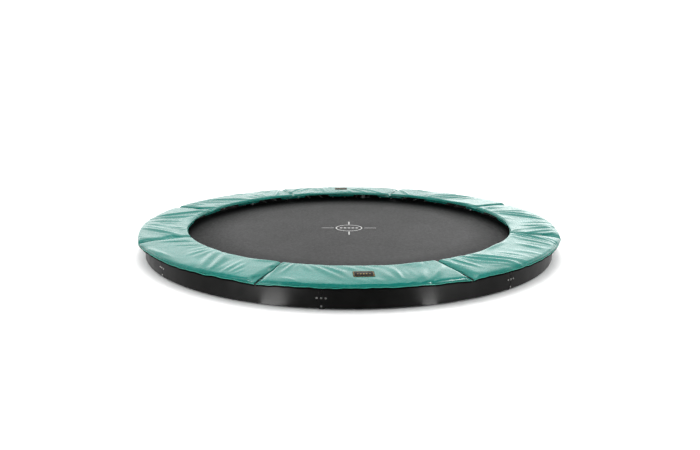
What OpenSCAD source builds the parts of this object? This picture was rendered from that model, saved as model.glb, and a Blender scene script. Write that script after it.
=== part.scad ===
// Ground-level round trampoline, in millimetres. A low ring of curved steel panels is bolted
// to eight short T-socket legs, which hold a ring of tube. Coil springs run from the tube to
// V-rings on a woven mat, and eight padded covers lie over the springs.
// +Z is up. The origin is on the ground, in the middle of the ring. Bearings are measured
// anticlockwise from the front (-Y), seen from above.

/* [Wall ring] */
// Outside diameter of the wall ring
wall_d = 3660; // [3500:10:3800]
// Height of the wall panels
wall_h = 162; // [158:1:164]
// Gap between the wall's lower edge and the ground
wall_lift = 12; // [8:1:14]
// Thickness of the wall sheet
sheet_t = 1.5; // [1:0.1:1.6]
// Width of the flange at the top of the wall
flange_w = 24; // [16:1:26]
// Width of the lip at the bottom of the wall
lip_w = 8; // [4:1:9]
// Bearing of the first wall seam
wall_seam = -5.9; // [-20:0.1:20]
// Gap between neighbouring wall panels
seam_gap = 4.5; // [1:0.5:5]

/* [Frame] */
// Outside diameter of the rail tube
rail_d = 50; // [46:1:51]
// Height of the rail's centre line
rail_z = 144; // [143:0.5:145]
// Distance from the outside of the wall in to the rail's centre line
rail_inset = 34; // [33:0.5:38]
// Wall thickness of the rail and leg tubes
tube_t = 1.5; // [1.2:0.1:2]
// Outside diameter of the leg tubes
leg_d = 42; // [38:1:43]
// Length of a T-socket's sleeve
sleeve_l = 130; // [110:5:135]

/* [Fasteners] */
// Diameter of the bolts
bolt_d = 6; // [5:0.5:6]
// Distance between the bolts of the row across a seam
bolt_pitch = 30; // [28:1:36]
// Height of the bolt row above the ground
bolt_row_z = 82; // [70:1:88]
// Height of the lower bolt above the ground
bolt_low_z = 26; // [25:1:30]

/* [Springs] */
// Outside diameter of a spring
spring_d = 22; // [18:1:24]
// Diameter of the spring wire
wire_d = 3.2; // [2.8:0.1:3.4]
// Length of the coiled part of a spring
coil_l = 150; // [140:1:152]
// Height of the springs' centre line
spring_z = 125; // [124.5:0.1:126]

/* [Mat] */
// Diameter of the woven mat
mat_d = 3098; // [3060:1:3098]
// Thickness of the woven mat
mat_t = 1.5; // [1:0.1:1.6]
// Height of the mat's upper face
mat_z = 120; // [119.8:0.1:120.2]
// Width of the hem band round the mat
hem_w = 49; // [30:1:60]

/* [Pads] */
// Outside diameter of the ring of pads
pad_outer_d = 3765; // [3760:5:3800]
// Inside diameter of the ring of pads
pad_inner_d = 2940; // [2860:5:2960]
// Height of the pads' crown above the ground
pad_top = 207; // [207:1:214]
// Thickness of the pads at their outer edge, skirt included
pad_edge = 30; // [26:1:31]
// Thickness of the covers' coated fabric
cover_t = 1.2; // [0.8:0.1:1.4]
// Bearing of the first pad seam
pad_seam = -19.2; // [-22:0.1:-14]

/* [Hidden] */
$fn = 64;
RING = 256; // facets of the large circles
SECTORS = 8;
SECTOR_A = 360 / SECTORS;
SPRINGS_PER_BAY = 9;
SPRING_A = 360 / (SECTORS * SPRINGS_PER_BAY);
TIE_STEPS = [-1, 2, 5]; // tie places, in spring spacings from a wall seam
LABEL_BEARINGS = [3.1, 183.1];

wall_r = wall_d / 2;
wall_top = wall_lift + wall_h;
panel_a = SECTOR_A - seam_gap / wall_r * 180 / PI;

plate_t = 2.5;
plate_w = 110;
plate_r = wall_r - sheet_t - 0.8; // outer face of a joint plate
plate_z = [wall_lift + 4, 112];

rail_r = wall_r - rail_inset;
rail_gap_a = 0.06; // half the gap between two rails, in degrees
sleeve_t = 2.7;
sleeve_fit = 0.3;
sleeve_a = sleeve_l / rail_r * 180 / PI;

cap_d = leg_d + 5;
cap_h = 17;
cap_floor = 5;
cap_fit = 0.3;
leg_top = rail_z - rail_d / 2 - sleeve_fit - sleeve_t / 2;

bolt_hole_d = bolt_d + 0.6;
head_d = 13;
head_h = 4;
nut_d = 11.5; // across corners
nut_h = 5;
leg_bolt_end = rail_r - leg_d / 2 - nut_h - 3;
plate_bolt_end = plate_r - plate_t - nut_h - 3;

screw_d = 5;
screw_spread = 45; // from the middle of the sleeve
screw_end = rail_r - rail_d / 2 + 6;
screw_head = rail_r - rail_d / 2 - sleeve_fit - sleeve_t;

mat_r = mat_d / 2;
hem_t = 2;
web_t = 1.2;
web_w = 26;
web_in = mat_r - 44;
ring_bar = 5; // section of a V-ring's wire
ring_z = mat_z - 1;
ring_base_r = mat_r + 8;
ring_apex_r = ring_base_r + 34;
ring_base_w = 40;
ring_apex_w = 15;

hook_in_r = ring_apex_r - 5.5;
coil_in_r = ring_apex_r + 21;
coil_out_r = coil_in_r + coil_l;
hook_hole_d = 8;
hook_drop = 11;
hook_out_r = rail_r - sqrt(pow(rail_d / 2, 2) - pow(rail_z - spring_z, 2)) + 7;

pad_ro = pad_outer_d / 2;
pad_ri = pad_inner_d / 2;
pad_gap_a = 0.016; // half the gap between two pads, in degrees
pad_under = wall_top + 1;
pad_side_top = pad_top - 7;
pad_lip_top = pad_top - 5;
skirt_z = pad_side_top - pad_edge;
foam_fit = 0.4;
tie_w = 25;
tie_t = 1.2;

label_r = (pad_ri + pad_ro) / 2 + 20; // to the middle of a label
label_size = [120, 145];
label_t = 0.9;
label_corner = 10;

// Bearing of a wall seam, which is also the middle of a leg and of a joint plate
function wall_bearing(i) = wall_seam + (i - 1) * SECTOR_A;
function pad_bearing(i) = pad_seam + (i - 1) * SECTOR_A;
function spring_bearing(i, j) = wall_bearing(i) + (j - 0.5) * SPRING_A;

// Turn +X to a bearing: x is outward, y along the ring, z up
module at(bearing) {
    rotate([0, 0, bearing - 90]) children();
}

// A profile in (radius, height) swept along part of the ring from a bearing
module arc(from, sweep) {
    at(from) rotate_extrude(angle = sweep, $fn = RING) children();
}

// A round bar along the radius at bearing 0 of its parent, between two radii
module radial_bar(r1, r2, d, z, y = 0) {
    translate([r1, y, z]) rotate([0, 90, 0]) cylinder(h = r2 - r1, d = d);
}

// The three holes of the row across a seam, and the lower one
module seam_drill(depth_from, side_bolts = true) {
    for (z = [bolt_row_z, bolt_low_z])
        radial_bar(depth_from, wall_r + 5, bolt_hole_d, z);
    if (side_bolts)
        for (y = [-bolt_pitch, bolt_pitch])
            radial_bar(depth_from, wall_r + 5, bolt_hole_d, bolt_row_z, y);
}

module wall_panel(i) {
    half_gap = (SECTOR_A - panel_a) / 2;
    color([0.10, 0.10, 0.09]) difference() {
        arc(wall_bearing(i) + half_gap, panel_a) polygon([
            [wall_r, wall_lift],
            [wall_r, wall_top],
            [wall_r - flange_w, wall_top],
            [wall_r - flange_w, wall_top - sheet_t],
            [wall_r - sheet_t, wall_top - sheet_t],
            [wall_r - sheet_t, wall_lift + sheet_t],
            [wall_r - lip_w, wall_lift + sheet_t],
            [wall_r - lip_w, wall_lift]
        ]);
        for (k = [i, i + 1]) at(wall_bearing(k)) seam_drill(wall_r - 5);
    }
}

module rail(i) {
    color([0.62, 0.63, 0.64]) difference() {
        arc(wall_bearing(i) + rail_gap_a, SECTOR_A - 2 * rail_gap_a)
            translate([rail_r, rail_z]) difference() {
                circle(d = rail_d);
                circle(d = rail_d - 2 * tube_t);
            }
        for (j = [1:SPRINGS_PER_BAY])
            at(spring_bearing(i, j)) radial_bar(rail_r - rail_d, rail_r, hook_hole_d, spring_z);
        for (k = [i, i + 1])
            at(wall_bearing(k)) for (y = [-screw_spread, screw_spread])
                radial_bar(rail_r - rail_d, rail_r, screw_d + 0.2, rail_z, y);
    }
}

// Sleeve that joins two rails, with the leg tube welded below it
module leg(i) {
    bore_d = rail_d + 2 * sleeve_fit;
    color([0.55, 0.56, 0.57]) difference() {
        union() {
            arc(wall_bearing(i) - sleeve_a / 2, sleeve_a)
                translate([rail_r, rail_z]) circle(d = bore_d + 2 * sleeve_t);
            at(wall_bearing(i)) translate([rail_r, 0, cap_floor + cap_fit])
                cylinder(h = leg_top - cap_floor, d = leg_d);
        }
        arc(wall_bearing(i) - sleeve_a, 2 * sleeve_a)
            translate([rail_r, rail_z]) circle(d = bore_d);
        at(wall_bearing(i)) {
            translate([rail_r, 0, 0]) cylinder(h = leg_top - 8, d = leg_d - 2 * tube_t);
            seam_drill(rail_r - leg_d, false);
            for (y = [-screw_spread, screw_spread])
                radial_bar(rail_r - rail_d, rail_r, screw_d + 0.2, rail_z, y);
        }
    }
}

// A close-wound coil taken as a tube, a hook over the V-ring and a hook in the rail
module spring() {
    coil_bore = spring_d - 2 * wire_d;
    bar_d = wire_d + 0.6;
    bar_h = coil_bore + wire_d;
    tip_d = wire_d - 0.4;
    ends = [coil_in_r + wire_d, coil_out_r - wire_d];
    difference() {
        radial_bar(coil_in_r, coil_out_r, spring_d, spring_z);
        radial_bar(coil_in_r - 1, coil_out_r + 1, coil_bore, spring_z);
    }
    for (r = ends) translate([r, 0, spring_z - bar_h / 2]) cylinder(h = bar_h, d = bar_d);
    radial_bar(hook_in_r - wire_d / 2, ends[0], wire_d, spring_z);
    radial_bar(ends[1], hook_out_r + wire_d / 2, wire_d, spring_z);
    translate([hook_in_r, 0, spring_z - hook_drop]) cylinder(h = hook_drop, d = tip_d);
    translate([hook_out_r, 0, spring_z]) cylinder(h = hook_drop - tip_d, d = tip_d);
}

module springs(i) {
    color([0.70, 0.71, 0.72])
        for (j = [1:SPRINGS_PER_BAY]) at(spring_bearing(i, j)) spring();
}

module foot_caps() {
    color([0.09, 0.09, 0.09])
        for (i = [1:SECTORS]) at(wall_bearing(i)) translate([rail_r, 0, 0]) difference() {
            cylinder(h = cap_h, d = cap_d);
            translate([0, 0, cap_floor]) cylinder(h = cap_h, d = leg_d + 2 * cap_fit);
        }
}

module joint_plates() {
    sweep = plate_w / plate_r * 180 / PI;
    color([0.42, 0.43, 0.44])
        for (i = [1:SECTORS]) difference() {
            arc(wall_bearing(i) - sweep / 2, sweep)
                translate([plate_r - plate_t, plate_z[0]])
                    square([plate_t, plate_z[1] - plate_z[0]]);
            at(wall_bearing(i)) seam_drill(wall_r - 10);
        }
}

// A button-head bolt along the radius, from its tip's radius out to the wall
module bolt(tip_r, z, y = 0) {
    translate([wall_r, y, z]) rotate([0, 90, 0]) difference() {
        union() {
            cylinder(h = head_h - 2, d = head_d);
            translate([0, 0, head_h - 2]) cylinder(h = 2, d1 = head_d, d2 = head_d - 4);
        }
        translate([0, 0, head_h - 2.5]) cylinder(h = 5, d = 4.6, $fn = 6);
    }
    radial_bar(tip_r, wall_r + 0.1, bolt_d, z, y);
}

module panel_bolts() {
    color([0.78, 0.78, 0.76])
        for (i = [1:SECTORS]) at(wall_bearing(i))
            for (y = [-bolt_pitch, bolt_pitch]) bolt(plate_bolt_end, bolt_row_z, y);
}

module leg_bolts() {
    color([0.78, 0.78, 0.76])
        for (i = [1:SECTORS]) at(wall_bearing(i))
            for (z = [bolt_row_z, bolt_low_z]) bolt(leg_bolt_end, z);
}

module nut(r, z, y = 0) {
    translate([r, y, z]) rotate([0, 90, 0]) difference() {
        cylinder(h = nut_h, d = nut_d, $fn = 6);
        translate([0, 0, -1]) cylinder(h = nut_h + 2, d = bolt_d + 0.1);
    }
}

module bolt_nuts() {
    color([0.72, 0.72, 0.70])
        for (i = [1:SECTORS]) at(wall_bearing(i)) {
            for (y = [-bolt_pitch, bolt_pitch]) nut(plate_bolt_end + 2, bolt_row_z, y);
            for (z = [bolt_row_z, bolt_low_z]) nut(leg_bolt_end + 2, z);
        }
}

module rail_screws() {
    color([0.75, 0.75, 0.73])
        for (i = [1:SECTORS]) at(wall_bearing(i))
            for (y = [-screw_spread, screw_spread]) {
                radial_bar(screw_head - 1, screw_end, screw_d, rail_z, y);
                radial_bar(screw_head - 4.5, screw_head - 0.9, 2 * screw_d, rail_z, y);
            }
}

module mat() {
    color([0.13, 0.13, 0.14])
        translate([0, 0, mat_z - mat_t]) cylinder(h = mat_t, r = mat_r, $fn = RING);
}

module mat_hem() {
    color([0.08, 0.08, 0.08])
        rotate_extrude($fn = RING)
            translate([mat_r - hem_w, mat_z + 0.3]) square([hem_w, hem_t]);
}

// A webbing band folded round a V-ring's bar, with its tails under the mat
module webbing_loop() {
    loop_r = ring_bar * 0.74;
    tail_top = mat_z - mat_t - 0.4;
    translate([ring_base_r, 0, ring_z]) rotate([90, 0, 0]) difference() {
        cylinder(h = web_w, r = loop_r + web_t, center = true);
        cylinder(h = web_w + 2, r = loop_r, center = true);
    }
    translate([web_in, -web_w / 2, tail_top - web_t])
        cube([ring_base_r - loop_r - web_in - 0.1, web_w, web_t]);
}

module ring_webbing() {
    color([0.10, 0.10, 0.11])
        for (i = [1:SECTORS], j = [1:SPRINGS_PER_BAY]) at(spring_bearing(i, j)) webbing_loop();
}

// The outline of a V-ring, drawn in by a margin
module ring_outline(margin) {
    narrow = margin * 1.1;
    polygon([
        [ring_base_r - ring_bar / 2 + margin, -ring_base_w / 2 + narrow],
        [ring_apex_r + ring_bar / 2 - margin, -ring_apex_w / 2 + narrow * 0.8],
        [ring_apex_r + ring_bar / 2 - margin, ring_apex_w / 2 - narrow * 0.8],
        [ring_base_r - ring_bar / 2 + margin, ring_base_w / 2 - narrow]
    ]);
}

module v_rings() {
    color([0.72, 0.72, 0.72])
        for (i = [1:SECTORS], j = [1:SPRINGS_PER_BAY])
            at(spring_bearing(i, j)) translate([0, 0, ring_z - ring_bar / 2])
                linear_extrude(ring_bar) difference() {
                    ring_outline(0);
                    ring_outline(ring_bar);
                }
}

// Section of a pad: flat below, crowned above, drawn in by a margin on every side
module pad_section(margin, low) {
    polygon([
        [pad_ri + margin, low],
        [pad_ri + margin, pad_lip_top - margin],
        [pad_ri + 35, pad_top - 1 - margin],
        [pad_ri + 150, pad_top - margin],
        [pad_ro - 150, pad_top - margin],
        [pad_ro - 40, pad_top - 2.5 - margin],
        [pad_ro - margin, pad_side_top - margin],
        [pad_ro - margin, low]
    ]);
}

// The coated cover: open below, with a skirt down each side
module pad_cover(i) {
    color([0.20, 0.60, 0.55])
        arc(pad_bearing(i) + pad_gap_a, SECTOR_A - 2 * pad_gap_a) difference() {
            pad_section(0, skirt_z);
            pad_section(cover_t, skirt_z - 1);
        }
}

module pad_foam(i) {
    inset_a = 0.1;
    color([0.85, 0.85, 0.80])
        arc(pad_bearing(i) + inset_a, SECTOR_A - 2 * inset_a)
            pad_section(cover_t + foam_fit, pad_under);
}

// An elastic loop round the rail, with a tab up to the pad
module pad_tie() {
    loop_r = rail_d / 2 + 0.4;
    translate([rail_r, 0, rail_z]) rotate([90, 0, 0]) difference() {
        cylinder(h = tie_w, r = loop_r + tie_t, center = true);
        cylinder(h = tie_w + 2, r = loop_r, center = true);
    }
    translate([rail_r - loop_r - tie_t, -tie_w / 2, rail_z])
        cube([tie_t, tie_w, pad_under - 0.4 - rail_z]);
}

module pad_ties() {
    color([0.16, 0.16, 0.16])
        for (i = [1:SECTORS], step = TIE_STEPS)
            at(wall_bearing(i) + step * SPRING_A) pad_tie();
}

module pad_labels() {
    color([0.12, 0.11, 0.10])
        for (bearing = LABEL_BEARINGS) at(bearing)
            translate([label_r, 0, pad_top + 0.1])
                linear_extrude(label_t) hull()
                    for (x = [-1, 1], y = [-1, 1])
                        translate([
                            x * (label_size[0] / 2 - label_corner),
                            y * (label_size[1] / 2 - label_corner)
                        ]) circle(r = label_corner, $fn = 32);
}

for (i = [1:SECTORS]) {
    wall_panel(i);
    rail(i);
    leg(i);
    springs(i);
    pad_cover(i);
    pad_foam(i);
}
foot_caps();
joint_plates();
panel_bolts();
leg_bolts();
bolt_nuts();
rail_screws();
mat();
mat_hem();
ring_webbing();
v_rings();
pad_ties();
pad_labels();
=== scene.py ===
import math

import bpy
import numpy as np
from mathutils import Matrix, Vector, noise


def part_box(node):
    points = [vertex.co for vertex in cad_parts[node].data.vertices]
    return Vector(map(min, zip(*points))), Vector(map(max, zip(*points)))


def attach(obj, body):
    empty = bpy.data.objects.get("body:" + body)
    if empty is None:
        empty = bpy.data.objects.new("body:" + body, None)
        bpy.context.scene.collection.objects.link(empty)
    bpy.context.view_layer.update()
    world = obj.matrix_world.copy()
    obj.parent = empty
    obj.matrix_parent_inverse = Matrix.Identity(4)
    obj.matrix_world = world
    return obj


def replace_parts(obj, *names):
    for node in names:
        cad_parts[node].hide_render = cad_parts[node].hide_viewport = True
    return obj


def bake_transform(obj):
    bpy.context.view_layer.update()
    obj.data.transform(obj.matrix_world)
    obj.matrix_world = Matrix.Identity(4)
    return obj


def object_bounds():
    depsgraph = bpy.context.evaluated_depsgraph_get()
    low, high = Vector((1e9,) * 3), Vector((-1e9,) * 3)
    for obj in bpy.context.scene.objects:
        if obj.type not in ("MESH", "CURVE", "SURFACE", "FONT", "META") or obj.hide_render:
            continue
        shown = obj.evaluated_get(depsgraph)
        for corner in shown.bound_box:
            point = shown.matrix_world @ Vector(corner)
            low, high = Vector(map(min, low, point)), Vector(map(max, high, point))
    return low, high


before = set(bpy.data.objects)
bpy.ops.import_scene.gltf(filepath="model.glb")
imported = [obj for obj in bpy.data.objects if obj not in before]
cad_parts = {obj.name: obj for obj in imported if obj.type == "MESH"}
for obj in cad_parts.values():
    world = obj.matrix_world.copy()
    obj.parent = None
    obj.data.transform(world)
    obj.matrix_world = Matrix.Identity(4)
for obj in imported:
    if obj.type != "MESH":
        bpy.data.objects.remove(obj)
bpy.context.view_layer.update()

# ---------------------------------------------------------------- layout, in metres and degrees
SECTORS = 8
SECTOR = 360 / SECTORS
SPRINGS_PER_BAY = 9
SPRING_STEP = SECTOR / SPRINGS_PER_BAY
WALL_SEAM = -5.9        # bearing of the first wall seam, anticlockwise from the front
PAD_SEAM = -19.2        # bearing of the first pad seam
LABEL_BEARINGS = (3.1, 183.1)

PAD_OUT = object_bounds()[1][0]
PAD_IN = 1.470
PAD_TOP = max(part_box(f"pad_cover_{k + 1}")[1].z for k in range(SECTORS))
PAD_LOW = min(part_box(f"pad_cover_{k + 1}")[0].z for k in range(SECTORS))
PAD_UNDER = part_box("pad_foam_1")[0].z
WALL_R = max(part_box(f"wall_panel_{k + 1}")[1].x for k in range(SECTORS))
MAT_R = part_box("mat")[1].x
MAT_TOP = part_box("mat")[1].z
MAT_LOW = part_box("mat")[0].z
RING_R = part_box("v_rings")[1].x
RING_Z = (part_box("v_rings")[0].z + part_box("v_rings")[1].z) / 2


def polar(bearing, r, z=0.0):
    """The point at a bearing, in degrees from the front, and a radius."""
    a = math.radians(bearing)
    return Vector((r * math.sin(a), -r * math.cos(a), z))


def add_mesh(name, verts, faces, material, smooth=True):
    mesh = bpy.data.meshes.new(name)
    mesh.from_pydata([tuple(v) for v in verts], [], faces)
    mesh.validate()
    mesh.update()
    if smooth:
        mesh.shade_smooth()
    obj = bpy.data.objects.new(name, mesh)
    bpy.context.scene.collection.objects.link(obj)
    mesh.materials.append(material)
    return obj


def joined(parts):
    """Several (vertices, faces) as one."""
    verts, faces = [], []
    for v, f in parts:
        faces += [tuple(k + len(verts) for k in face) for face in f]
        verts += list(v)
    return verts, faces


# ---------------------------------------------------------------- camera
CAMERA_AT = (-0.026, -5.533, 1.435)
CAMERA_PITCH = math.radians(13.09)
CAMERA_YAW = math.radians(0.37)     # towards +X
CAMERA_ROLL = math.radians(0.22)    # anticlockwise
CAMERA_LENS = 30.98                 # in mm, as is the sensor
CAMERA_SENSOR = 36

camera_data = bpy.data.cameras.new("camera")
camera_data.lens = CAMERA_LENS
camera_data.sensor_width = CAMERA_SENSOR
camera_data.clip_end = 100
camera = bpy.data.objects.new("camera", camera_data)
turned = Matrix.Rotation(-CAMERA_YAW, 4, "Z") @ Matrix.Rotation(math.pi / 2 - CAMERA_PITCH, 4, "X")
camera.matrix_world = Matrix.Translation(CAMERA_AT) @ turned @ Matrix.Rotation(CAMERA_ROLL, 4, "Z")
bpy.context.scene.collection.objects.link(camera)
bpy.context.scene.camera = camera


# ---------------------------------------------------------------- material helpers
WAVE_REPEAT = 0.314     # a wave texture at scale 1 repeats every this many units


class Look:
    """A node material around one Principled shader, with short ways to add textures."""

    def __init__(self, name, colour, roughness, metallic=0.0, **sockets):
        self.material = bpy.data.materials.new(name)
        self.material.use_nodes = True
        self.nodes = self.material.node_tree.nodes
        self.links = self.material.node_tree.links
        self.bsdf = self.nodes["Principled BSDF"]
        self.set(self.bsdf, "Base Color", (*colour, 1))
        self.set(self.bsdf, "Roughness", roughness)
        self.set(self.bsdf, "Metallic", metallic)
        for socket, value in sockets.items():
            self.set(self.bsdf, socket.replace("_", " "), value)
        self.coords = self.nodes.new("ShaderNodeTexCoord").outputs["Object"]
        self.normal = None

    def set(self, node, socket, value):
        if isinstance(value, bpy.types.NodeSocket):
            self.links.new(value, node.inputs[socket])
        else:
            node.inputs[socket].default_value = value

    def scaled(self, x, y, z):
        """The object's coordinates, scaled along each axis."""
        node = self.nodes.new("ShaderNodeMapping")
        node.inputs["Scale"].default_value = (x, y, z)
        self.links.new(self.coords, node.inputs["Vector"])
        return node.outputs["Vector"]

    def grey(self, value):
        """A neutral colour from a value."""
        join = self.nodes.new("ShaderNodeCombineXYZ")
        for axis in "XYZ":
            self.set(join, axis, value)
        return join.outputs[0]

    def split_coords(self):
        """The object's coordinates as three values."""
        split = self.nodes.new("ShaderNodeSeparateXYZ")
        self.links.new(self.coords, split.inputs[0])
        return list(split.outputs)

    def length_xy(self):
        """Distance from the middle of the ring, seen from above."""
        x, y = self.split_coords()[:2]
        return self.math("SQRT", self.math("ADD", self.math("MULTIPLY", x, x), self.math("MULTIPLY", y, y)))

    def polar_coords(self):
        """(radius, angle x the pads' outer radius, height): coordinates that follow the ring."""
        x, y, z = self.split_coords()
        join = self.nodes.new("ShaderNodeCombineXYZ")
        self.set(join, "X", self.length_xy())
        self.set(join, "Y", self.math("MULTIPLY", self.math("ARCTAN2", y, x), PAD_OUT))
        self.set(join, "Z", z)
        return join.outputs[0]

    def math(self, operation, a, b=0.0):
        node = self.nodes.new("ShaderNodeMath")
        node.operation = operation
        self.set(node, 0, a)
        self.set(node, 1, b)
        return node.outputs[0]

    def noise(self, scale, detail, vector=None):
        node = self.nodes.new("ShaderNodeTexNoise")
        node.inputs["Scale"].default_value = scale
        node.inputs["Detail"].default_value = detail
        self.links.new(vector or self.coords, node.inputs["Vector"])
        return node.outputs["Fac"]

    def cells(self, scale):
        node = self.nodes.new("ShaderNodeTexVoronoi")
        node.inputs["Scale"].default_value = scale
        self.links.new(self.coords, node.inputs["Vector"])
        return node.outputs["Distance"]

    def waves(self, pitch, direction, vector=None):
        """Bands across a direction that repeat at a pitch in metres."""
        node = self.nodes.new("ShaderNodeTexWave")
        node.bands_direction = direction
        node.inputs["Scale"].default_value = WAVE_REPEAT / pitch
        self.links.new(vector or self.coords, node.inputs["Vector"])
        return node.outputs["Fac"]

    def weave(self, pitch, vector=None):
        """Threads crossing at a pitch in metres: 1 on top of a thread, 0 between threads."""
        return self.math("MAXIMUM", self.waves(pitch, "X", vector), self.waves(pitch, "Y", vector))

    def ramp(self, fac, low, high, start=0.0, end=1.0):
        """A value or colour from low to high as fac goes from start to end."""
        node = self.nodes.new("ShaderNodeMapRange")
        node.inputs["From Min"].default_value = start
        node.inputs["From Max"].default_value = end
        self.links.new(fac, node.inputs["Value"])
        if not hasattr(low, "__len__"):
            node.inputs["To Min"].default_value = low
            node.inputs["To Max"].default_value = high
            return node.outputs["Result"]
        mix = self.nodes.new("ShaderNodeMix")
        mix.data_type = "RGBA"
        self.links.new(node.outputs["Result"], mix.inputs["Factor"])
        mix.inputs["A"].default_value = (*low, 1)
        mix.inputs["B"].default_value = (*high, 1)
        return mix.outputs["Result"]

    def mottled(self, scale, detail, low, high):
        """Soft patches that go from low to high."""
        return self.ramp(self.noise(scale, detail), low, high, 0.3, 0.7)

    def colour(self, value):
        self.set(self.bsdf, "Base Color", value)

    def rough(self, value):
        self.set(self.bsdf, "Roughness", value)

    def bump(self, height, distance):
        """Adds one layer of relief, its height in metres given by distance."""
        node = self.nodes.new("ShaderNodeBump")
        node.inputs["Distance"].default_value = distance
        self.links.new(height, node.inputs["Height"])
        if self.normal is not None:
            self.links.new(self.normal, node.inputs["Normal"])
        self.normal = node.outputs["Normal"]
        self.links.new(self.normal, self.bsdf.inputs["Normal"])


# ---------------------------------------------------------------- materials
MAT_THREAD = 0.0022     # from one thread of the mat to the next


def coated_fabric():
    """Teal coated fabric: glossy, with the grid of its scrim and small creases showing."""
    look = Look("coated_fabric", (0.003, 0.17, 0.14), 0.27, Specular_IOR_Level=0.31)
    ring = look.polar_coords()
    look.colour(look.mottled(5, 4, (0.002, 0.155, 0.125), (0.004, 0.185, 0.155)))
    look.rough(look.mottled(30, 4, 0.21, 0.31))
    look.bump(look.noise(9, 1, ring), 0.0014)
    look.bump(look.weave(0.0032, ring), 0.000006)
    return look.material


def hem_fabric():
    look = Look("hem_fabric", (0.008, 0.27, 0.2), 0.4)
    ring = look.polar_coords()
    look.colour(look.mottled(18, 3, (0.007, 0.25, 0.185), (0.012, 0.31, 0.235)))
    look.bump(look.weave(0.0024, ring), 0.0003)
    look.bump(look.noise(60, 3, ring), 0.0012)
    return look.material


def powder_coat():
    """Satin black powder coat on sheet steel, with a fine orange-peel skin and slight dents."""
    look = Look("powder_coat", (0.004, 0.004, 0.0035), 0.42, Specular_IOR_Level=0.25)
    look.colour(look.mottled(9, 5, (0.0030, 0.0030, 0.0026), (0.0055, 0.0053, 0.0048)))
    look.rough(look.mottled(14, 6, 0.37, 0.48))
    look.bump(look.noise(700, 2), 0.00003)
    look.bump(look.noise(3.5, 2, look.scaled(1, 1, 0.4)), 0.004)
    return look.material


def galvanised():
    look = Look("galvanised", (0.5, 0.51, 0.52), 0.42, metallic=1.0)
    spangle = look.cells(160)
    look.colour(look.ramp(spangle, (0.40, 0.41, 0.42), (0.60, 0.61, 0.62), 0.1, 0.6))
    look.rough(look.mottled(90, 4, 0.3, 0.55))
    look.bump(look.noise(300, 3), 0.0001)
    return look.material


def zinc_plate():
    look = Look("zinc_plate", (0.62, 0.62, 0.60), 0.4, metallic=1.0)
    look.colour(look.mottled(200, 3, (0.52, 0.52, 0.50), (0.70, 0.70, 0.68)))
    look.rough(look.mottled(400, 4, 0.32, 0.5))
    look.bump(look.noise(900, 2), 0.00004)
    return look.material


def spring_steel():
    look = Look("spring_steel", (0.16, 0.16, 0.155), 0.45, metallic=1.0)
    look.colour(look.mottled(150, 3, (0.12, 0.12, 0.117), (0.20, 0.20, 0.195)))
    look.rough(look.mottled(300, 4, 0.38, 0.55))
    look.bump(look.noise(900, 2), 0.00004)
    return look.material


def cap_plastic():
    look = Look("cap_plastic", (0.012, 0.012, 0.012), 0.55)
    look.colour(look.mottled(80, 4, (0.009, 0.009, 0.009), (0.019, 0.019, 0.018)))
    look.rough(look.mottled(150, 3, 0.48, 0.68))
    look.bump(look.noise(900, 3), 0.0001)
    return look.material


def mat_weave():
    """Woven black polypropylene in soft grey patches, with painted shade that darkens its rim where the
    pads overhang it.
    """
    look = Look("mat_weave", (0.05, 0.05, 0.049), 0.5, Specular_IOR_Level=0.06)
    mottled_grey = look.mottled(2.5, 5, 0.033, 0.043)
    # Painted shade: the colour falls to 3% over the outer band of the mat, standing in for the shadow under
    # the pads.
    painted_rim_shade = look.ramp(look.length_xy(), 1.0, 0.03, MAT_R - 0.47, MAT_R - 0.19)
    look.colour(look.grey(look.math("MULTIPLY", mottled_grey, painted_rim_shade)))
    look.rough(look.mottled(40, 4, 0.46, 0.58))
    look.bump(look.weave(MAT_THREAD), 0.00025)
    look.bump(look.noise(7, 3), 0.0015)
    return look.material


def webbing():
    look = Look("webbing", (0.006, 0.006, 0.006), 0.75, Specular_IOR_Level=0.15)
    ring = look.polar_coords()
    look.colour(look.ramp(look.weave(0.0018, ring), (0.003, 0.003, 0.003), (0.009, 0.009, 0.009)))
    look.bump(look.weave(0.0018, ring), 0.0003)
    return look.material


def elastic():
    # Also used for the band under each skirt, which serves as painted shadow.
    look = Look("elastic", (0.002, 0.002, 0.002), 0.85, Specular_IOR_Level=0.03)
    ring = look.polar_coords()
    ribs = look.waves(0.002, "Z", ring)
    look.colour(look.ramp(ribs, (0.001, 0.001, 0.001), (0.003, 0.003, 0.003)))
    look.bump(ribs, 0.0003)
    return look.material


def white_print():
    look = Look("white_print", (0.45, 0.45, 0.44), 0.6)
    look.colour(look.ramp(look.weave(MAT_THREAD), (0.25, 0.25, 0.25), (0.60, 0.60, 0.59), 0.1, 0.6))
    look.bump(look.weave(MAT_THREAD), 0.0002)
    return look.material


def patch_fabric():
    look = Look("patch_fabric", (0.012, 0.011, 0.010), 0.6, Specular_IOR_Level=0.12)
    look.colour(look.mottled(120, 4, (0.008, 0.008, 0.007), (0.018, 0.016, 0.014)))
    look.bump(look.weave(0.0016), 0.0002)
    return look.material


def gold_thread():
    look = Look("gold_thread", (0.45, 0.30, 0.09), 0.55, Specular_IOR_Level=0.2)
    look.colour(look.mottled(500, 3, (0.20, 0.13, 0.03), (0.38, 0.27, 0.08)))
    look.bump(look.noise(900, 2), 0.0003)
    return look.material


def pale_floor():
    look = Look("pale_floor", (0.86, 0.86, 0.86), 0.9)
    look.colour(look.mottled(1.2, 3, (0.85, 0.85, 0.85), (0.88, 0.88, 0.88)))
    return look.material


def backdrop_paint():
    look = Look("backdrop_paint", (0.86, 0.86, 0.86), 0.9, Emission_Strength=1.2)
    look.colour(look.mottled(0.4, 3, (0.85, 0.85, 0.85), (0.88, 0.88, 0.88)))
    return look.material


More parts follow.
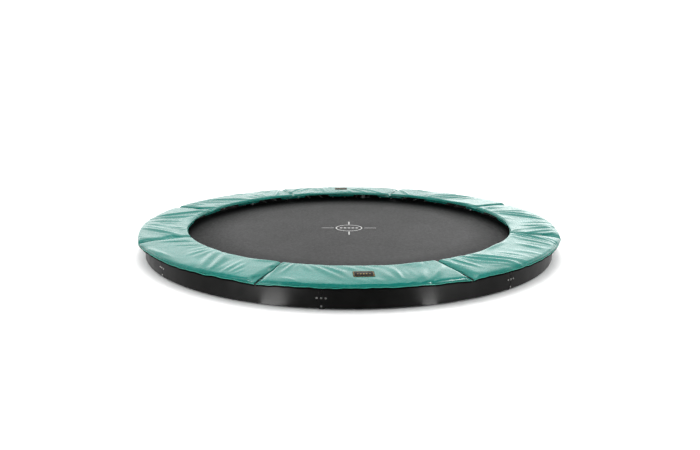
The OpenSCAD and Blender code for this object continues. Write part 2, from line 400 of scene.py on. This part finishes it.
COATED = coated_fabric()
HEM = hem_fabric()
POWDER = powder_coat()
GALVANISED = galvanised()
ZINC = zinc_plate()
STEEL = spring_steel()
CAP = cap_plastic()
MAT = mat_weave()
WEBBING = webbing()
ELASTIC = elastic()
PRINT = white_print()
PATCH = patch_fabric()
GOLD = gold_thread()
FLOOR = pale_floor()
BACKDROP = backdrop_paint()

NODE_LOOKS = {
    "wall_panel": POWDER, "rail": GALVANISED, "leg": GALVANISED, "joint_plates": POWDER,
    "foot_caps": CAP, "panel_bolts": ZINC, "leg_bolts": ZINC, "bolt_nuts": ZINC,
    "rail_screws": ZINC, "mat_hem": WEBBING, "ring_webbing": WEBBING, "pad_ties": ELASTIC,
}
for node_name, node_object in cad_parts.items():
    stem = node_name.rstrip("0123456789").rstrip("_")
    if stem in NODE_LOOKS:
        node_object.data.materials.clear()
        node_object.data.materials.append(NODE_LOOKS[stem])


# ---------------------------------------------------------------- springs and rings
SPRING_R = 0.0094       # to the middle of the wire
WIRE_R = 0.0016
RING_WIRE_R = 0.0025
SPRING_Z = sum(c.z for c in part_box("springs_1")) / 2
COIL_IN = RING_R + 0.0185
COIL_OUT = COIL_IN + 0.150
HOOK_OUT = 1.787
COIL_PITCH = 0.0048
TURN_STEPS = 9          # points along a turn of a coil


def tube(points, radius, sides, closed=False):
    """Vertices and faces of a round wire along points, with an upright that doesn't twist."""
    points = [Vector(p) for p in points]
    n = len(points)
    verts = []
    normal = None
    for i, p in enumerate(points):
        after = points[(i + 1) % n] if closed or i < n - 1 else p
        before = points[i - 1] if closed or i > 0 else p
        along = (after - before).normalized()
        if normal is None:
            normal = along.orthogonal().normalized()
        normal = (normal - along * normal.dot(along)).normalized()
        side = along.cross(normal)
        for s in range(sides):
            a = 2 * math.pi * s / sides
            verts.append(p + (normal * math.cos(a) + side * math.sin(a)) * radius)
    faces = []
    for i in range(n if closed else n - 1):
        for s in range(sides):
            a, b = i * sides, (i + 1) % n * sides
            t = (s + 1) % sides
            faces.append((a + s, a + t, b + t, b + s))
    if not closed:
        faces.append(tuple(range(sides))[::-1])
        faces.append(tuple((n - 1) * sides + s for s in range(sides)))
    return verts, faces


def spring_path():
    """The wire of one spring as (radius, along the ring, height) points, mat end first."""
    hook_in = RING_R - 0.0080
    path = [(hook_in - 0.001, 0, SPRING_Z - 0.012), (hook_in - 0.0015, 0, SPRING_Z - 0.005),
            (hook_in + 0.001, 0, SPRING_Z + 0.0005), (hook_in + 0.006, 0, SPRING_Z + 0.001),
            (COIL_IN - 0.009, 0, SPRING_Z), (COIL_IN - 0.004, 0, SPRING_Z + 0.002)]
    turns = round((COIL_OUT - COIL_IN) / COIL_PITCH)
    for i in range(turns * TURN_STEPS + 1):
        a = 2 * math.pi * i / TURN_STEPS
        rise = min(1, (i + 1) / 4, (turns * TURN_STEPS - i + 1) / 4)
        path.append((COIL_IN + COIL_PITCH * i / TURN_STEPS, SPRING_R * rise * math.sin(a),
                     SPRING_Z + SPRING_R * rise * math.cos(a)))
    path += [(COIL_OUT + 0.004, 0, SPRING_Z + 0.002), (COIL_OUT + 0.009, 0, SPRING_Z),
             (HOOK_OUT - 0.004, 0, SPRING_Z), (HOOK_OUT, 0, SPRING_Z + 0.002),
             (HOOK_OUT + 0.001, 0, SPRING_Z + 0.008)]
    return path


def on_ring(path, bearing):
    """Points given as (radius, along the ring, height), put at a bearing."""
    out = polar(bearing, 1)
    along = polar(bearing + 90, 1)
    return [out * r + along * t + Vector((0, 0, z)) for r, t, z in path]


def make_springs():
    path = spring_path()
    for bay in range(SECTORS):
        for j in range(SPRINGS_PER_BAY):
            bearing = WALL_SEAM + bay * SECTOR + (j + 0.5) * SPRING_STEP
            verts, faces = tube(on_ring(path, bearing), WIRE_R, 6)
            spring = add_mesh(f"spring_{bay + 1}_{j + 1}", verts, faces, STEEL)
            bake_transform(spring)
            if j == 0:
                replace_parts(spring, f"springs_{bay + 1}")


def make_rings():
    """Seventy-two triangular rings of round wire with rounded corners."""
    base_r, apex_r = RING_R - 0.0365, RING_R - 0.0026
    corners = [(base_r, -0.0170), (apex_r, -0.0048), (apex_r, 0.0048), (base_r, 0.0170)]
    cut = 0.0035
    path = []
    for i, corner in enumerate(corners):
        here = Vector(corner)
        before = (Vector(corners[i - 1]) - here).normalized()
        after = (Vector(corners[(i + 1) % 4]) - here).normalized()
        path += [here + before * cut, here + (before + after) * cut * 0.28, here + after * cut]
    path = [(p.x, p.y, RING_Z) for p in path]
    wires = [tube(on_ring(path, WALL_SEAM + (i + 0.5) * SPRING_STEP), RING_WIRE_R, 8, closed=True)
             for i in range(SECTORS * SPRINGS_PER_BAY)]
    rings = add_mesh("ring_set", *joined(wires), STEEL)
    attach(rings, "mat_sheet")
    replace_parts(rings, "v_rings")
    return rings


make_springs()
ring_set = make_rings()


# ---------------------------------------------------------------- mat
SCALLOP = 0.0035        # half the depth of a scallop
PRINT_T = 0.0004
PRINT_LIFT = 0.0001     # from the mat to its print
DOT_R = 0.014
DOT_PITCH = 0.037


def make_mat():
    """A disc of woven cloth with two faces, pulled into shallow scallops between its rings."""
    count = SECTORS * SPRINGS_PER_BAY * 4
    radii = [MAT_R * k / 40 for k in range(1, 39)] + [MAT_R - 0.03, MAT_R - 0.012, MAT_R]
    verts = [Vector((0, 0, MAT_TOP)), Vector((0, 0, MAT_LOW))]
    for z in (MAT_TOP, MAT_LOW):
        for r in radii:
            for i in range(count):
                bearing = WALL_SEAM + i * 360 / count
                pull = math.cos(math.radians(bearing - WALL_SEAM) * SECTORS * SPRINGS_PER_BAY)
                near_edge = max(0.0, (r - 0.9 * MAT_R) / (0.1 * MAT_R))
                verts.append(polar(bearing, r - SCALLOP * near_edge ** 3 * (1 + pull), z))
    faces = []
    rows = len(radii)
    for side in range(2):
        start = 2 + side * rows * count
        for i in range(count):
            j = (i + 1) % count
            middle = (side, start + i, start + j)
            faces.append(middle if side == 0 else middle[::-1])
            for k in range(rows - 1):
                a, b = start + k * count, start + (k + 1) * count
                quad = (a + i, b + i, b + j, a + j)
                faces.append(quad if side == 0 else quad[::-1])
    top, low = 2 + (rows - 1) * count, 2 + (2 * rows - 1) * count
    for i in range(count):
        j = (i + 1) % count
        faces.append((top + i, low + i, low + j, top + j))
    mat = add_mesh("mat_cloth", verts, faces, MAT)
    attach(mat, "mat_sheet")
    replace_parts(mat, "mat")
    return mat


def flat_shape(outline, z, thickness):
    """A closed thin prism over an outline of (x, y) points, anticlockwise."""
    n = len(outline)
    verts = [(x, y, z) for x, y in outline] + [(x, y, z + thickness) for x, y in outline]
    faces = [tuple(range(n))[::-1], tuple(range(n, 2 * n))]
    faces += [(i, (i + 1) % n, n + (i + 1) % n, n + i) for i in range(n)]
    return verts, faces


def flat_band(inner, outer, z, thickness):
    """A closed thin band between two outlines that have as many points, both anticlockwise."""
    n = len(outer)
    verts = [(x, y, h) for h in (z, z + thickness) for ring in (inner, outer) for x, y in ring]
    a, b, c, d = (k * n for k in range(4))
    faces = []
    for i in range(n):
        j = (i + 1) % n
        faces += [(a + i, a + j, b + j, b + i), (c + i, d + i, d + j, c + j),
                  (b + i, b + j, d + j, d + i), (a + i, c + i, c + j, a + j)]
    return verts, faces


def circle(r, steps, x=0.0):
    return [polar(360 * i / steps, r).xy + Vector((x, 0)) for i in range(steps)]


def bar(x0, x1, y0, y1):
    return [(x0, y0), (x1, y0), (x1, y1), (x0, y1)]


def make_print():
    """A plain jump target in the middle of the mat: cross lines round a ring and a row of dots."""
    z = MAT_TOP + PRINT_LIFT
    line_in, line_out, tick_out = 0.145, 0.255, 0.260
    bars = [bar(-line_out, -line_in, -0.004, 0.004), bar(line_in, line_out, -0.004, 0.004),
            bar(-0.005, 0.005, -tick_out, -line_in), bar(-0.005, 0.005, line_in, tick_out)]
    parts = [flat_shape(outline, z, PRINT_T) for outline in bars]
    parts.append(flat_band(circle(0.116, 72), circle(0.125, 72), z, PRINT_T))
    parts += [flat_shape(circle(DOT_R, 36, DOT_PITCH * i), z, PRINT_T) for i in range(-2, 3)]
    mark = add_mesh("mat_print", *joined(parts), PRINT, smooth=False)
    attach(mark, "mat_sheet")
    return mark


mat_cloth = make_mat()
mat_print = make_print()


# ---------------------------------------------------------------- pads
PAD_STEPS = 128         # along a pad
TOP_STEPS = 31          # across its top
SIM_FRAMES = 30
FOAM_INSET = 0.0065     # how far the foam lies inside a cover that is full
EXTRA_LENGTH = 0.037    # the share by which a cover is cut longer than its foam
TWIST = 0.060           # how far a cover's inner edge is pulled along its outer one
SKIRT_WAVE = 0.005      # how far the edge of a cover's skirt rises and falls
FOLD_LIMIT = 0.016      # how far a crease may move from the cover's plain shape
CREST_LIMIT = 0.011     # how far it may stand above that shape
CALM_PASSES = 4
LABEL_R = (PAD_IN + PAD_OUT) / 2 + 0.020
LABEL_PLACES = [polar(bearing, LABEL_R, PAD_TOP) for bearing in LABEL_BEARINGS]
LABEL_CLEAR = (0.08, 0.20)  # no creases nearer a label's middle than the first, all beyond the second


def pad_section():
    """(radius, height, sewn down?) round a pad's section, from the inner foot over the top."""
    edge = 0.009
    inner = [(PAD_IN + 0.004, PAD_UNDER, True), (PAD_IN - 0.001, PAD_UNDER + 0.006, True),
             (PAD_IN - 0.003, PAD_UNDER + 0.013, False), (PAD_IN - 0.001, PAD_TOP - 0.014, False),
             (PAD_IN + 0.003, PAD_TOP - 0.007, False)]
    top = []
    for i in range(TOP_STEPS + 1):
        t = i / TOP_STEPS
        r = PAD_IN + edge + (PAD_OUT - PAD_IN - 2 * edge) * t
        top.append((r, PAD_TOP - 0.0035 * (1 - t) ** 3 - 0.0045 * t ** 6, False))
    outer = [(PAD_OUT - 0.0025, PAD_TOP - 0.0085, False), (PAD_OUT, PAD_TOP - 0.015, False),
             (PAD_OUT, PAD_TOP - 0.026, False), (PAD_OUT - 0.001, PAD_LOW + 0.003, True)]
    low = [(PAD_OUT - 0.012, PAD_UNDER, True)]
    low += [(PAD_OUT + (PAD_IN - PAD_OUT) * t, PAD_UNDER, True) for t in np.linspace(0.08, 0.95, 10)]
    return inner + top + outer + low


SECTION = pad_section()
HELD = np.tile([held for r, z, held in SECTION], PAD_STEPS + 1)


def pad_point(k, u, r, z):
    """A point of pad k, at u from 0 to 1 along it, with its ends rounded down towards the seams."""
    t = max(0.0, min(1.0, (r - PAD_IN) / (PAD_OUT - PAD_IN)))
    inset = math.degrees((0.0006 + 0.0055 * t ** 1.5) / r)
    bearing = PAD_SEAM + k * SECTOR + inset + (SECTOR - 2 * inset) * u
    from_end = min(u, 1 - u) * math.radians(SECTOR) * r
    slope = max(0.0, 1 - from_end / (0.028 + 0.034 * t)) ** 1.8
    height = max(0.0, (z - PAD_UNDER) / (PAD_TOP - PAD_UNDER))
    end = abs(2 * u - 1)
    over_edge = max(0.0, t - 0.85) / 0.15
    radius = r + (0.011 * end ** 6 - 0.003) * t ** 6
    if r > PAD_OUT - 0.007 and z < PAD_LOW + 0.006:
        z += SKIRT_WAVE * noise.noise(Vector((22 * u, 3 * k, 0.5)))
    return polar(bearing, radius, z - (0.017 + 0.009 * t) * slope * height - 0.006 * end ** 12 * over_edge)


def along_pad(i):
    """Where row i of a pad's points lies, from 0 to 1: close together near the ends."""
    s = i / PAD_STEPS
    return s - 0.45 * math.sin(2 * math.pi * s) / (2 * math.pi)


def pad_points(k):
    """The points of pad k as it lies on its foam, row by row along the pad."""
    rows = [along_pad(i) for i in range(PAD_STEPS + 1)]
    return np.array([pad_point(k, u, r, z) for u in rows for r, z, held in SECTION])


def pad_faces():
    n = len(SECTION)
    faces = []
    for i in range(PAD_STEPS):
        a, b = i * n, (i + 1) * n
        for s in range(n):
            t = (s + 1) % n
            faces.append((a + s, a + t, b + t, b + s))
    faces.append(tuple(range(n))[::-1])
    faces.append(tuple(PAD_STEPS * n + s for s in range(n)))
    return faces


def cover_cut(points, k):
    """The same cover as it is cut: longer than the foam, and skewed, so that it has to crease."""
    chance = np.random.default_rng(100 + k)
    phase = chance.random(2) * 2 * math.pi
    r = np.hypot(points[:, 0], points[:, 1])
    bearing = np.unwrap(np.arctan2(points[:, 0], -points[:, 1]))
    middle = bearing.mean()
    u = (bearing - middle) / math.radians(SECTOR)
    t = (r - PAD_IN) / (PAD_OUT - PAD_IN) - 0.5
    sway = np.sin(2 * math.pi * 0.9 * u + phase[0]) + 0.5 * np.sin(2 * math.pi * 2.3 * u + phase[1])
    skew = TWIST * t * sway
    turned = middle + (bearing - middle) * (1 + EXTRA_LENGTH) + skew / PAD_OUT
    lift = np.array([noise.noise(Vector(p) * 16 + Vector((0, 0, 7 * k))) for p in points]) * 0.003
    height = points[:, 2] + np.where(HELD, 0, lift)
    return np.stack([r * np.sin(turned), -r * np.cos(turned), height], 1)


def set_points(mesh, points):
    mesh.vertices.foreach_set("co", np.asarray(points, np.float32).ravel())
    mesh.update()


def get_points(mesh):
    points = np.zeros(len(mesh.vertices) * 3, np.float32)
    mesh.vertices.foreach_get("co", points)
    return points.reshape(-1, 3).astype(float)


def cloth_pair(k, points, faces):
    """A cover as cloth that starts as it is cut and is drawn down to its place over its foam."""
    cover = add_mesh(f"cover_cloth_{k}", cover_cut(points, k), faces, COATED)
    foam = add_mesh(f"foam_{k}", points, faces, COATED)
    normals = np.array([v.normal for v in foam.data.vertices])
    set_points(foam.data, points - normals * FOAM_INSET)
    foam.modifiers.new("collision", "COLLISION")
    foam.collision.thickness_outer = 0.001
    foam.collision.cloth_friction = 5
    own = bpy.data.collections.new(f"foam_only_{k}")
    own.objects.link(foam)
    cover.shape_key_add(name="cut")
    placed = cover.shape_key_add(name="placed")
    placed.data.foreach_set("co", points.astype(np.float32).ravel())
    placed.value = 0
    placed.keyframe_insert("value", frame=1)
    placed.value = 1
    placed.keyframe_insert("value", frame=SIM_FRAMES * 2 // 3)
    pins = cover.vertex_groups.new(name="sewn_down")
    pins.add([int(i) for i in np.flatnonzero(HELD)], 1.0, "REPLACE")
    cloth = cover.modifiers.new("cloth", "CLOTH")
    cloth.point_cache.frame_start = 1
    cloth.point_cache.frame_end = SIM_FRAMES
    cloth.collision_settings.use_collision = True
    cloth.collision_settings.collection = own
    cloth.collision_settings.distance_min = 0.0015
    cloth.collision_settings.use_self_collision = False
    cloth.settings.quality = 5
    cloth.settings.mass = 0.25
    for kind in ("tension", "compression"):
        setattr(cloth.settings, f"{kind}_stiffness", 12)
        setattr(cloth.settings, f"{kind}_damping", 8)
    cloth.settings.shear_stiffness = 8
    cloth.settings.shear_damping = 8
    cloth.settings.bending_stiffness = 12
    cloth.settings.air_damping = 3
    cloth.settings.vertex_group_mass = pins.name
    cloth.settings.effector_weights.gravity = 0.3
    return cover, foam, own


def lay_covers(all_points, faces):
    """Runs the cloth of every pad at once, and gives back where each cover's points come to rest."""
    pairs = [cloth_pair(k, points, faces) for k, points in enumerate(all_points)]
    for step in range(1, SIM_FRAMES + 1):
        bpy.context.scene.frame_set(step)
    graph = bpy.context.evaluated_depsgraph_get()
    settled = [get_points(cover.evaluated_get(graph).data) for cover, foam, own in pairs]
    for cover, foam, own in pairs:
        bpy.data.objects.remove(cover)
        bpy.data.objects.remove(foam)
        bpy.data.collections.remove(own)
    bpy.context.scene.frame_set(1)
    return settled


def calm(points, base):
    """Takes the zigzag of single threads out of a settled cover, and keeps it flat round the labels."""
    move = (points - base).reshape(PAD_STEPS + 1, len(SECTION), 3)
    free = ~HELD.reshape(PAD_STEPS + 1, len(SECTION))[:, :, None]
    for _ in range(CALM_PASSES):
        around = (np.roll(move, 1, 1) + np.roll(move, -1, 1)) / 2
        along = move.copy()
        along[1:-1] = (move[:-2] + move[2:]) / 2
        move = np.where(free, 0.4 * move + 0.3 * around + 0.3 * along, move)
    move = move.reshape(-1, 3)
    far = np.linalg.norm(move, axis=1, keepdims=True)
    move *= np.minimum(1, FOLD_LIMIT / np.maximum(far, 1e-9))
    move[:, 2] = np.minimum(move[:, 2], CREST_LIMIT)
    for at in LABEL_PLACES:
        away = np.linalg.norm(base[:, :2] - np.array(at.xy), axis=1, keepdims=True)
        share = np.clip((away - LABEL_CLEAR[0]) / (LABEL_CLEAR[1] - LABEL_CLEAR[0]), 0, 1)
        move *= share ** 2 * (3 - 2 * share)
    return base + move


def finish_pad(k, points, faces):
    rough = add_mesh(f"pad_{k + 1}_rough", points, faces, COATED)
    rough.modifiers.new("smooth", "SUBSURF").levels = 1
    graph = bpy.context.evaluated_depsgraph_get()
    mesh = bpy.data.meshes.new_from_object(rough.evaluated_get(graph))
    bpy.data.objects.remove(rough)
    mesh.name = f"pad_{k + 1}"
    pad = bpy.data.objects.new(f"pad_{k + 1}", mesh)
    bpy.context.scene.collection.objects.link(pad)
    mesh.shade_smooth()
    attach(pad, "frame")
    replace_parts(pad, f"pad_cover_{k + 1}", f"pad_foam_{k + 1}")
    return pad


def make_pads():
    faces = pad_faces()
    bases = [pad_points(k) for k in range(SECTORS)]
    shapes = lay_covers(bases, faces)
    return [finish_pad(k, calm(shapes[k], bases[k]), faces) for k in range(SECTORS)]


pads = make_pads()


# ---------------------------------------------------------------- trim on the pads
PIPING_R = 0.0032
TRIM_STEPS = 96         # along an edge
# The black band under each skirt is partly painted shadow: it stands in for the shade under the pads'
# overhang.
SHADOW_BAND_W, SHADOW_BAND_T = 0.018, 0.0015
FLAP_SPAN = 11.8        # degrees
FLAP_DROP = 0.024
FLAP_T = 0.0012
LABEL_LONG, LABEL_SHORT = 0.145, 0.120
LABEL_CORNER = 0.010
LABEL_T = 0.0010
LABEL_LIFT = 0.0002     # from the pad to the patch
GOLD_T = 0.0004
GOLD_LINE = 0.0026
GOLD_INSET = 0.005      # from the patch's edge to its gold border
LOZENGE_PITCH = 0.020


def sew_on(pad, name, parts, material):
    piece = add_mesh(name, *joined(parts), material)
    piece.parent = pad
    return piece


def piping(k):
    """The bound edges of a cover: one along its outer skirt, one along its inner foot."""
    rows = [i / TRIM_STEPS for i in range(TRIM_STEPS + 1)]
    outer = [pad_point(k, u, PAD_OUT - 0.001, PAD_LOW + 0.002) for u in rows]
    inner = [pad_point(k, u, PAD_IN - 0.001, PAD_UNDER + 0.004) for u in rows]
    return [tube(outer, PIPING_R, 8), tube(inner, PIPING_R * 0.8, 8)]


def elastic_shadow_band(k):
    """The flat black elastic inside a cover's skirt, which hangs a little below its bound edge. Partly
    real, partly painted shadow: it is made near-black and deep enough to stand in for the shade on the wall
    under the pad's overhang.
    """
    verts, faces = [], []
    for i in range(TRIM_STEPS + 1):
        top = pad_point(k, i / TRIM_STEPS, PAD_OUT - 0.004, PAD_LOW + 0.004)
        drop = Vector((0, 0, -SHADOW_BAND_W))
        inward = Vector((-top.x, -top.y, 0)).normalized() * SHADOW_BAND_T
        verts += [top, top + drop, top + drop + inward, top + inward]
    for i in range(TRIM_STEPS):
        a, b = 4 * i, 4 * i + 4
        faces += [(a + s, a + (s + 1) % 4, b + (s + 1) % 4, b + s) for s in range(4)]
    faces += [(3, 2, 1, 0), tuple(4 * TRIM_STEPS + s for s in range(4))]
    return [(verts, faces)]


def flap(bearing, seed):
    """A strap of coated fabric hanging at the inner edge, crumpled along its length."""
    columns, rows = 64, 5
    front, back = [], []
    for i in range(columns + 1):
        a = bearing + FLAP_SPAN * (i / columns - 0.5)
        taper = min(1.0, i / 4, (columns - i) / 4)
        drop = FLAP_DROP * (0.55 + 0.45 * taper) * (1 + 0.14 * noise.noise(Vector((i * 0.16, seed, 3))))
        for j in range(rows + 1):
            down = j / rows
            crumple = 0.0045 * noise.noise(Vector((i * 0.35, 0.5 * down + seed, 0))) * down
            r = PAD_IN + 0.004 + crumple
            z = PAD_UNDER + 0.003 - drop * down
            front.append(polar(a, r, z))
            back.append(polar(a, r + FLAP_T, z))
    n = rows + 1
    size = len(front)
    faces = []
    for i in range(columns):
        for j in range(rows):
            a, b = i * n + j, (i + 1) * n + j
            faces.append((a, a + 1, b + 1, b))
            faces.append((size + a, size + b, size + b + 1, size + a + 1))
    rim = [i * n for i in range(columns + 1)] + [columns * n + j for j in range(1, n)]
    rim += [i * n + rows for i in range(columns - 1, -1, -1)] + [j for j in range(rows - 1, 0, -1)]
    for i, a in enumerate(rim):
        b = rim[(i + 1) % len(rim)]
        faces.append((a, b, size + b, size + a))
    return front + back, faces


def rounded(width, height, corner):
    """The outline of a rectangle with round corners, anticlockwise, about the origin."""
    outline = []
    for i, (sx, sy) in enumerate(((1, 1), (-1, 1), (-1, -1), (1, -1))):
        for step in range(7):
            a = math.radians(90 * i + 15 * step)
            outline.append((sx * (width / 2 - corner) + corner * math.cos(a),
                            sy * (height / 2 - corner) + corner * math.sin(a)))
    return outline


def border(width, height, corner, line, z, thickness):
    """A closed flat band inside a rounded rectangle's edge."""
    inner = rounded(width - 2 * line, height - 2 * line, corner - line)
    return flat_band(inner, rounded(width, height, corner), z, thickness)


def label_at(part, place):
    """Turns a part drawn about the origin, its x across the pad, to lie at a place on the ring."""
    out = Vector((place.x, place.y, 0)).normalized()
    along = Vector((-out.y, out.x, 0))
    verts, faces = part
    return [place + along * x + out * y + Vector((0, 0, z)) for x, y, z in verts], faces


def make_label(pad, name, place):
    """A dark patch with a gold border and a plain row of lozenges."""
    patch = flat_shape(rounded(LABEL_LONG, LABEL_SHORT, LABEL_CORNER), LABEL_LIFT, LABEL_T)
    gold_z = LABEL_LIFT + LABEL_T
    gold = [border(LABEL_LONG - 2 * GOLD_INSET, LABEL_SHORT - 2 * GOLD_INSET, LABEL_CORNER - 0.004,
                   GOLD_LINE, gold_z, GOLD_T)]
    for i in range(-2, 3):
        half = 0.016 - 0.003 * abs(i)
        x = LOZENGE_PITCH * i
        lozenge = [(x + 0.007, 0), (x, half), (x - 0.007, 0), (x, -half)]
        gold.append(flat_shape(lozenge, gold_z, GOLD_T))
    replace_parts(sew_on(pad, f"{name}_patch", [label_at(patch, place)], PATCH), "pad_labels")
    sew_on(pad, f"{name}_gold", [label_at(part, place) for part in gold], GOLD)


for k, pad in enumerate(pads):
    sew_on(pad, f"piping_{k + 1}", piping(k), HEM)
    # Painted shadow: a near-black band under each skirt, standing in for the shade on the wall below it.
    sew_on(pad, f"elastic_shadow_band_{k + 1}", elastic_shadow_band(k), ELASTIC)
    middle = PAD_SEAM + (k + 0.5) * SECTOR
    sew_on(pad, f"flaps_{k + 1}", [flap(middle, 5 * k), flap(middle + SECTOR / 2, 5 * k + 2)], COATED)
make_label(pads[0], "front_label", LABEL_PLACES[0])
make_label(pads[4], "back_label", LABEL_PLACES[1])


# ---------------------------------------------------------------- floor and light
PIT_R = 1.70
PIT_DEPTH = 0.75
FLOOR_R = 30.0
BACKDROP_R = 29.0
BACKDROP_Z = (-1.0, 15.0)
GLEAM_LENGTH = 0.40
GLEAM_Z = 0.008


def make_floor():
    """A pale floor with a round pit below the mat."""
    steps = 128
    rings = [(FLOOR_R, 0.0), (6.0, 0.0), (PIT_R, 0.0), (PIT_R, -PIT_DEPTH), (0.001, -PIT_DEPTH)]
    verts = [polar(360 * i / steps, r, z) for r, z in rings for i in range(steps)]
    faces = []
    for k in range(len(rings) - 1):
        for i in range(steps):
            j = (i + 1) % steps
            faces.append((k * steps + i, k * steps + j, (k + 1) * steps + j, (k + 1) * steps + i))
    floor = add_mesh("floor", verts, faces, FLOOR, smooth=False)
    floor.visible_glossy = False
    return floor


def make_backdrop():
    """A white wall far round the floor. Only the camera sees it, so it lights nothing."""
    steps = 96
    verts = [polar(360 * i / steps, BACKDROP_R, z) for z in BACKDROP_Z for i in range(steps)]
    faces = [(i, (i + 1) % steps, steps + (i + 1) % steps, steps + i) for i in range(steps)]
    backdrop = add_mesh("backdrop", verts, faces, BACKDROP)
    backdrop.visible_diffuse = False
    backdrop.visible_glossy = False
    backdrop.visible_transmission = False
    backdrop.visible_shadow = False


def area_light(name, at, target, size, power, glossy=True, diffuse=True):
    """A soft box that can be left out of what is glossy or of what is dull."""
    data = bpy.data.lights.new(name, "AREA")
    data.shape = "RECTANGLE"
    data.size, data.size_y = size
    data.energy = power
    lamp = bpy.data.objects.new(name, data)
    lamp.location = at
    lamp.rotation_euler = (Vector(target) - Vector(at)).to_track_quat("-Z", "Y").to_euler()
    lamp.visible_camera = False
    lamp.visible_glossy = glossy
    lamp.visible_diffuse = diffuse
    bpy.context.scene.collection.objects.link(lamp)
    return lamp


def sky_on_floor(floor, strength):
    """Soft light from straight above that falls on the floor alone, so that it stays white."""
    data = bpy.data.lights.new("floor_light", "SUN")
    data.energy = strength
    data.angle = math.radians(120)
    lamp = bpy.data.objects.new("floor_light", data)
    bpy.context.scene.collection.objects.link(lamp)
    lit = bpy.data.collections.new("lit_by_floor_light")
    lit.objects.link(floor)
    lamp.light_linking.receiver_collection = lit


def studio_world(back, front, underfoot, high):
    """A white room: brightest low down behind the object, dark behind the camera and dim underfoot."""
    world = bpy.data.worlds.new("studio")
    world.use_nodes = True
    bpy.context.scene.world = world
    nodes, links = world.node_tree.nodes, world.node_tree.links
    split = nodes.new("ShaderNodeSeparateXYZ")
    links.new(nodes.new("ShaderNodeTexCoord").outputs["Generated"], split.inputs[0])
    lean = nodes.new("ShaderNodeMath")
    lean.operation = "MULTIPLY_ADD"
    links.new(split.outputs["Z"], lean.inputs[0])
    lean.inputs[1].default_value = 0.3
    links.new(split.outputs["Y"], lean.inputs[2])

    def share(value, start, end, low, top, kind="SMOOTHSTEP"):
        """Goes from low to top as the value goes from start to end."""
        node = nodes.new("ShaderNodeMapRange")
        node.interpolation_type = kind
        for socket, number in zip(("From Min", "From Max", "To Min", "To Max"), (start, end, low, top)):
            node.inputs[socket].default_value = number
        links.new(value, node.inputs["Value"])
        return node.outputs["Result"]

    strength = share(lean.outputs[0], -0.8, 0.75, front, back)
    for factor in (share(split.outputs["Z"], -0.3, -0.06, underfoot, 1),
                   share(split.outputs["Z"], 0.21, 0.32, 1, high, "LINEAR")):
        product = nodes.new("ShaderNodeMath")
        product.operation = "MULTIPLY"
        links.new(strength, product.inputs[0])
        links.new(factor, product.inputs[1])
        strength = product.outputs[0]
    background = nodes["Background"]
    background.inputs["Color"].default_value = (1, 1, 1, 1)
    links.new(strength, background.inputs["Strength"])


def floor_gleam(name, bearing, heading, width, power):
    """A soft box on the floor beside the wall, face up, which only shows as a gleam in glossy paint."""
    at = polar(bearing, WALL_R, GLEAM_Z) + polar(heading, GLEAM_LENGTH / 2)
    lamp = area_light(name, at, (0, 0, 0), (width, GLEAM_LENGTH), power, diffuse=False)
    lamp.rotation_euler = (math.pi, 0, math.radians(heading))


floor = make_floor()
make_backdrop()
studio_world(back=2.0, front=0.10, underfoot=0.3, high=0.66)
area_light("strip_left", (-3.5, -4.5, 0.35), (-0.6, -1.7, 0.1), (0.40, 0.6), 110, diffuse=False)
area_light("strip_right", (3.8, -4.2, 0.35), (0.7, -1.7, 0.1), (0.30, 0.6), 90, diffuse=False)
floor_gleam("gleam_left", -16.0, -39, 0.18, 1.6)
floor_gleam("gleam_right", 16.9, 42, 0.10, 0.85)
area_light("back_left", (-4.0, 6.8, 1.8), (-1.7, -0.2, 0.2), (4.4, 2.4), 10, diffuse=False)
area_light("back_right", (4.0, 6.8, 1.8), (1.7, -0.2, 0.2), (4.4, 2.4), 40, diffuse=False)
area_light("fill", (0.0, -6.5, 2.5), (0, -1.5, 0), (7.0, 2.5), 60, glossy=False)
area_light("top", (0.0, -1.0, 5.0), (0, 0, 0), (4.0, 4.0), 185)
sky_on_floor(floor, 2.2)
bpy.context.scene.view_settings.view_transform = "Standard"
